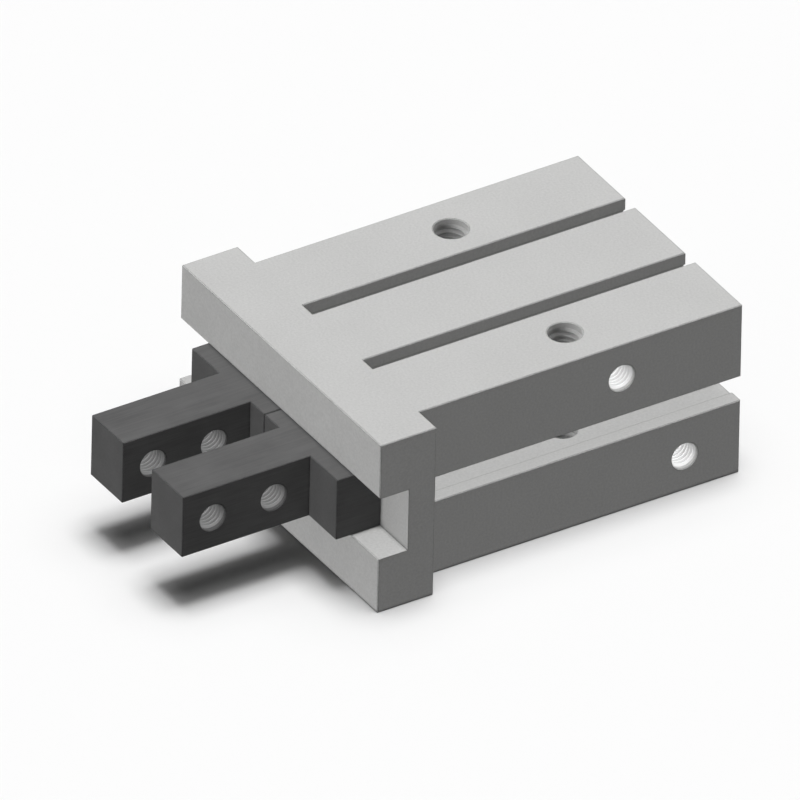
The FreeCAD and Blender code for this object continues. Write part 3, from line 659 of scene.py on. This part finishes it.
@dataclass
class Block(Assembly):
    """The aluminium block with its mounting threads and air ports.

    Attributes:
        side_pitch: Pitch of the M6 threads in the wide faces.
        side_depth: Depth of those threads.
        side_lead_in: Plain band at the mouth of those holes, where the drill was larger.
        rear_pitch: Pitch of the M5 threads in the rear face.
        rear_depth: Depth of those threads.
        port_pitch: Pitch of the M5 threads of the air ports.
        port_depth: Depth of those threads.
        lead_in: Chamfer at the mouth of every other hole.
        body: Body that the threads move with.
    """

    side_pitch: float = 1.0 * MM
    side_depth: float = 12.0 * MM
    side_lead_in: float = 0.8 * MM
    rear_pitch: float = 0.8 * MM
    rear_depth: float = 6.5 * MM
    port_pitch: float = 0.8 * MM
    port_depth: float = 6.0 * MM
    lead_in: float = 0.15 * MM
    body: str = "gripper_body"
    finishes: dict[str, Finish] = field(default_factory=lambda: {"housing": BODY_ANODISE})

    def side_threads(self) -> list[TappedHole]:
        """Returns the threads in the two wide faces."""
        holes = []
        for name in ("top_threads", "bottom_threads"):
            entry = mount(name)
            sizes = entry["dims"]
            for side, label in ((-1, "left"), (1, "right")):
                shift = Vector((side * sizes["spacing_x_mm"] * MM / 2, 0, 0))
                holes.append(TappedHole(
                    f"{name}_{label}", Vector(entry["pos_m"]) + shift, -Vector(entry["axis"]),
                    sizes["hole_r_mm"] * MM, self.side_pitch, self.side_depth,
                    self.side_lead_in, self.body, BODY_THREAD_PAINTED_LIGHT))
        return holes

    def rear_threads(self) -> list[TappedHole]:
        """Returns the threads in the rear face."""
        entry = mount("rear_bolts")
        sizes = entry["dims"]
        holes = []
        for x_side in (-1, 1):
            for z_side in (-1, 1):
                shift = Vector((x_side * sizes["spacing_x_mm"], 0,
                                z_side * sizes["spacing_y_mm"])) * (MM / 2)
                holes.append(TappedHole(
                    f"rear_thread_{len(holes) + 1}", Vector(entry["pos_m"]) + shift,
                    -Vector(entry["axis"]), sizes["hole_r_mm"] * MM, self.rear_pitch,
                    self.rear_depth, self.lead_in, self.body, BODY_THREAD_PAINTED_LIGHT))
        return holes

    def port_threads(self) -> list[TappedHole]:
        """Returns the threads of the two air ports."""
        holes = []
        for name in ("closing_port", "opening_port"):
            entry = mount(name)
            outward = Vector(entry["axis"])
            holes.append(TappedHole(
                f"{name}_thread", Vector(entry["pos_m"]) + outward * (self.port_depth / 2),
                -outward, entry["dims"]["r_mm"] * MM, self.port_pitch, self.port_depth,
                self.lead_in, self.body, THREAD_ALUMINIUM))
        return holes

    def sunk_pieces(self) -> list[str]:
        """Returns the names of the mounting threads, which lie deep in their holes."""
        return [hole.name for hole in self.side_threads() + self.rear_threads()]

    def port_pieces(self) -> list[str]:
        """Returns the names of the threads in the air ports."""
        return [hole.name for hole in self.port_threads()]

    def build(self) -> None:
        """Cuts every thread of the block."""
        for hole in self.side_threads() + self.rear_threads() + self.port_threads():
            hole.build()


@dataclass
class Fingers(Assembly):
    """The two fingers with the threads that hold the gripping jaws.

    Attributes:
        pitch: Pitch of the M5 threads.
        thickness: Thickness of the prong that they go through.
        lead_in: Chamfer at both ends of a hole.
    """

    pitch: float = 0.8 * MM
    thickness: float = 10.0 * MM
    lead_in: float = 0.15 * MM
    finishes: dict[str, Finish] = field(default_factory=lambda: {
        "finger_left": FINGER_STEEL, "finger_right": FINGER_STEEL,
        "roller_stops_left": PLAIN_STEEL, "roller_stops_right": PLAIN_STEEL,
    })

    def build(self) -> None:
        """Cuts the two threads of each finger."""
        for side in ("left", "right"):
            entry = mount(f"{side}_finger_holes")
            sizes = entry["dims"]
            for end, label in ((-1, "tip"), (1, "root")):
                shift = Vector((0, end * sizes["spacing_x_mm"] * MM / 2, 0))
                TappedHole(
                    f"finger_thread_{side}_{label}", Vector(entry["pos_m"]) + shift,
                    -Vector(entry["axis"]), sizes["hole_r_mm"] * MM, self.pitch,
                    self.thickness - self.lead_in, self.lead_in, f"{side}_finger",
                    THREAD_STEEL).build()


@dataclass
class Guideway(Assembly):
    """The rail on the channel floor, its screws and the crossed rollers."""

    finishes: dict[str, Finish] = field(default_factory=lambda: {
        "guide_rail": GROUND_STEEL, "rail_screws": PLAIN_STEEL,
        "guide_rollers_left": BEARING_STEEL, "guide_rollers_right": BEARING_STEEL,
    })


@dataclass
class Linkage(Assembly):
    """The crosshead and the bell cranks that turn the piston's stroke into finger travel."""

    finishes: dict[str, Finish] = field(default_factory=lambda: {
        "crosshead": PLAIN_STEEL, "drive_pins": GROUND_STEEL,
        "lever_left": LEVER_STEEL, "lever_right": LEVER_STEEL,
        "lever_bush_left": BRONZE, "lever_bush_right": BRONZE,
        "lever_shaft_left": GROUND_STEEL, "lever_shaft_right": GROUND_STEEL,
    })


@dataclass
class Cylinder(Assembly):
    """The piston with its rod and rings, the seals and the closing of the bore."""

    finishes: dict[str, Finish] = field(default_factory=lambda: {
        "end_cap": CAP_ANODISE, "cap_gasket": NITRILE, "retaining_clip": SPRING_STEEL,
        "rear_bumper": BUMPER, "front_bumper": BUMPER, "rod_seal": NITRILE,
        "seal_retainer": PLAIN_STEEL, "piston": PISTON_ALUMINIUM, "piston_seal": NITRILE,
        "magnet_ring": MAGNET, "guide_ring": ACETAL, "piston_rod": CHROME,
        "piston_nut": PLAIN_STEEL,
    })


class Reach(Enum):
    """What a lamp lights: all pieces, those that don't lie deep, the port threads, the floor."""

    GRIPPER = "lit_gripper"
    OPEN_FACES = "lit_open_faces"
    PORTS = "lit_ports"
    FLOOR = "lit_floor"


@dataclass(frozen=True)
class Lamp:
    """One distant soft lamp.

    Attributes:
        name: Name of the lamp.
        azimuth: Turn of the lamp about the gripper in degrees, with 0 at -Y and 90 at +X.
        elevation: Height of the lamp above level in degrees.
        strength: Light that a face turned to the lamp gets, in watts per square metre.
        spread: Angle that the lamp fills in degrees, which sets how soft its shadows are.
        reach: What the lamp lights.
        shadows: Whether the lamp throws shadows. One that doesn't isn't mirrored either, so a
            face that it lights has the same tone from every side.
    """

    name: str
    azimuth: float
    elevation: float
    strength: float
    spread: float
    reach: Reach = Reach.GRIPPER
    shadows: bool = True

    def hang(self, receivers: bpy.types.Collection) -> None:
        """Hangs the lamp.

        Args:
            receivers: The objects that it lights.
        """
        light = bpy.data.lights.new(self.name, "SUN")
        light.energy = self.strength
        light.angle = math.radians(self.spread)
        light.use_shadow = self.shadows
        if not self.shadows:
            light.cycles.max_bounces = 0
        lamp = add_object(self.name, light)
        away = direction(self.azimuth, self.elevation)
        lamp.rotation_euler = away.to_track_quat("Z", "Y").to_euler()
        lamp.visible_glossy = self.shadows
        lamp.light_linking.receiver_collection = receivers


# The picture shows hardly any shade inside grooves and holes. So each side has a lift, which is
# a lamp without shadows, and the lamps that do throw shadows on the gripper are the weaker ones.
# The floor has lamps of its own, a narrow one within a wide one, for the shadow beside the block.
LAMPS = (
    Lamp("floor_softbox_core", 165.0, 87.5, 2.25, 23.0, Reach.FLOOR),
    Lamp("floor_softbox_rim", 150.0, 84.0, 0.95, 56.0, Reach.FLOOR),
    Lamp("floor_lift", 0.0, 90.0, 0.08, 40.0, Reach.FLOOR, shadows=False),
    Lamp("port_spot", 75.0, 25.0, 0.35, 30.0, Reach.PORTS, shadows=False),
    Lamp("overhead_softbox", 0.0, 90.0, 0.3, 40.0),
    Lamp("overhead_lift", 0.0, 90.0, 4.3, 40.0, Reach.OPEN_FACES, shadows=False),
    Lamp("front_fill", -20.0, 15.0, 0.3, 50.0),
    Lamp("front_lift", -20.0, 8.0, 2.95, 50.0, shadows=False),
    Lamp("right_lift", 80.0, 6.0, 0.87, 60.0, Reach.OPEN_FACES, shadows=False),
    Lamp("rear_lift", 190.0, 8.0, 2.3, 30.0, shadows=False),
    Lamp("left_lift", 268.0, 8.0, 2.0, 30.0, shadows=False),
)


@dataclass
class Studio:
    """The pale floor, the soft lights and the camera.

    Attributes:
        azimuth: Turn of the view in degrees, with 0 at -Y and 90 at +X.
        elevation: Height of the view above level, in degrees.
        roll: Turn of the picture about the line of sight, in degrees.
        pixels_per_mm: Scale of the parallel projection.
        origin_pixel: Where the model's origin lies in the picture.
        picture: Width and height of the picture in pixels.
        distance: Distance of the camera, which a parallel projection doesn't show.
        clip: Nearest and farthest distance that the camera sees.
        floor_size: Side of the floor; the white sheet beneath it has twice that.
        floor_colour: Colour of the floor's matt paper.
        underlay_drop: How far the white sheet lies beneath the floor.
        underlay_colour: Colour that the white sheet glows in.
        room_low: Light of the room from below.
        room_high: Light of the room from above.
        sunk: Names of the pieces that lie deep in holes, which the lifts overhead and at the
            right leave out.
        ports: Names of the pieces in the air ports, which the picture shows nearly white.
    """

    azimuth: float = 57.382
    elevation: float = 33.819
    roll: float = 1.282
    pixels_per_mm: float = 5.9852
    origin_pixel: tuple[float, float] = (658.51, 313.52)
    picture: float = 800.0
    distance: float = 0.6
    clip: tuple[float, float] = (0.01, 10.0)
    floor_size: float = 3.0
    floor_colour: str = "#F2F2F2"
    underlay_drop: float = 80.0 * MM
    underlay_colour: str = "#FDFDFD"
    room_low: str = "#262626"
    room_high: str = "#4C4C4C"
    sunk: list[str] = field(default_factory=list)
    ports: list[str] = field(default_factory=list)

    def axes(self) -> tuple[Vector, Vector, Vector]:
        """Returns the camera's right, up and backward directions."""
        turn = math.radians(self.azimuth)
        lean = math.radians(self.roll)
        back = direction(self.azimuth, self.elevation)
        level = Vector((math.cos(turn), math.sin(turn), 0))
        upright = back.cross(level)
        right = level * math.cos(lean) + upright * math.sin(lean)
        up = upright * math.cos(lean) - level * math.sin(lean)
        return right, up, back

    def camera(self) -> None:
        """Sets the camera to the picture's parallel view."""
        right, up, back = self.axes()
        scale = self.pixels_per_mm / MM
        across = (self.picture / 2 - self.origin_pixel[0]) / scale
        rise = (self.origin_pixel[1] - self.picture / 2) / scale
        lens = bpy.data.cameras.new("view")
        lens.type = "ORTHO"
        lens.ortho_scale = self.picture / scale
        lens.clip_start, lens.clip_end = self.clip
        camera = add_object("view", lens)
        place = right * across + up * rise + back * self.distance
        turned = Matrix((right, up, back)).transposed().to_4x4()
        camera.matrix_world = Matrix.Translation(place) @ turned
        bpy.context.scene.camera = camera

    def lights(self, floor: bpy.types.Object) -> None:
        """Sorts the pieces by the lamps that reach them and hangs the lamps.

        Args:
            floor: The floor, which has lamps of its own.
        """
        reached = {reach: bpy.data.collections.new(reach.value) for reach in Reach}
        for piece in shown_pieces():
            reached[Reach.GRIPPER].objects.link(piece)
            if piece.name not in self.sunk:
                reached[Reach.OPEN_FACES].objects.link(piece)
            if piece.name in self.ports:
                reached[Reach.PORTS].objects.link(piece)
        reached[Reach.FLOOR].objects.link(floor)
        for lamp in LAMPS:
            lamp.hang(reached[lamp.reach])

    def world(self) -> None:
        """Fills the room with faint light, brighter above than below."""
        world = bpy.data.worlds.new("studio")
        tree = empty_tree(world)
        place = add_node(tree, "ShaderNodeTexCoord")
        axes = add_node(tree, "ShaderNodeSeparateXYZ", None, {0: place.outputs["Generated"]})
        rise = map_range(tree, axes.outputs[2], (-1.0, 1.0))
        tone = mix_colours(tree, rise, linear(self.room_low), self.room_high)
        room = add_node(tree, "ShaderNodeBackground", None, {"Color": tone, "Strength": 1.0})
        add_node(tree, "ShaderNodeOutputWorld", None, {"Surface": room.outputs[0]})
        bpy.context.scene.world = world

    def sheet(self, name: str, half: float, level: float, material: str, kind: str,
              colour: str) -> bpy.types.Object:
        """Lays a level square sheet that the gripper neither mirrors nor gets light from.

        Args:
            name: Name of the sheet.
            half: Half of its side.
            level: Height at which it lies.
            material: Name of its material.
            kind: Blender's type name of the shader.
            colour: Colour of the sheet.

        Returns:
            The sheet.
        """
        mesh = bpy.data.meshes.new(name)
        mesh.from_pydata([(-half, -half, level), (half, -half, level), (half, half, level),
                          (-half, half, level)], [], [(0, 1, 2, 3)])
        surface = bpy.data.materials.new(material)
        tree = empty_tree(surface)
        shader = add_node(tree, kind, None, {"Color": linear(colour)})
        add_node(tree, "ShaderNodeOutputMaterial", None, {"Surface": shader.outputs[0]})
        mesh.materials.append(surface)
        laid = add_object(name, mesh)
        laid.visible_diffuse = False
        laid.visible_glossy = False
        return laid

    def floor(self, low: float) -> bpy.types.Object:
        """Lays the pale floor under the gripper.

        Args:
            low: Lowest level of the gripper.

        Returns:
            The floor.
        """
        floor = self.sheet("floor", self.floor_size / 2, low, "matt_paper",
                           "ShaderNodeBsdfDiffuse", self.floor_colour)
        floor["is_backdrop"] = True
        return floor

    def underlay(self, low: float) -> None:
        """Lays a glowing white sheet beneath the floor, which lights nothing.

        A low parallel view starts beneath the floor in its bottom rows and would look into the
        dark room there.

        Args:
            low: Level of the sheet.
        """
        sheet = self.sheet("underlay", self.floor_size, low, "white_sheet",
                           "ShaderNodeEmission", self.underlay_colour)
        sheet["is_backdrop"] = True

    def build(self) -> None:
        """Sets up the whole studio."""
        bpy.context.scene.view_settings.view_transform = "Standard"
        low = Vector(model_box[0]).z
        floor = self.floor(low)
        self.underlay(low - self.underlay_drop)
        self.world()
        self.lights(floor)
        self.camera()


def main() -> None:
    """Dresses the gripper, cuts its threads and sets up the studio."""
    logging.basicConfig(level=logging.INFO, format="%(name)s: %(message)s")
    block = Block()
    for group in (block, Fingers(), Guideway(), Linkage(), Cylinder()):
        group.dress()
        group.build()
    Studio(sunk=block.sunk_pieces(), ports=block.port_pieces()).build()


if __name__ == "__main__":
    main()
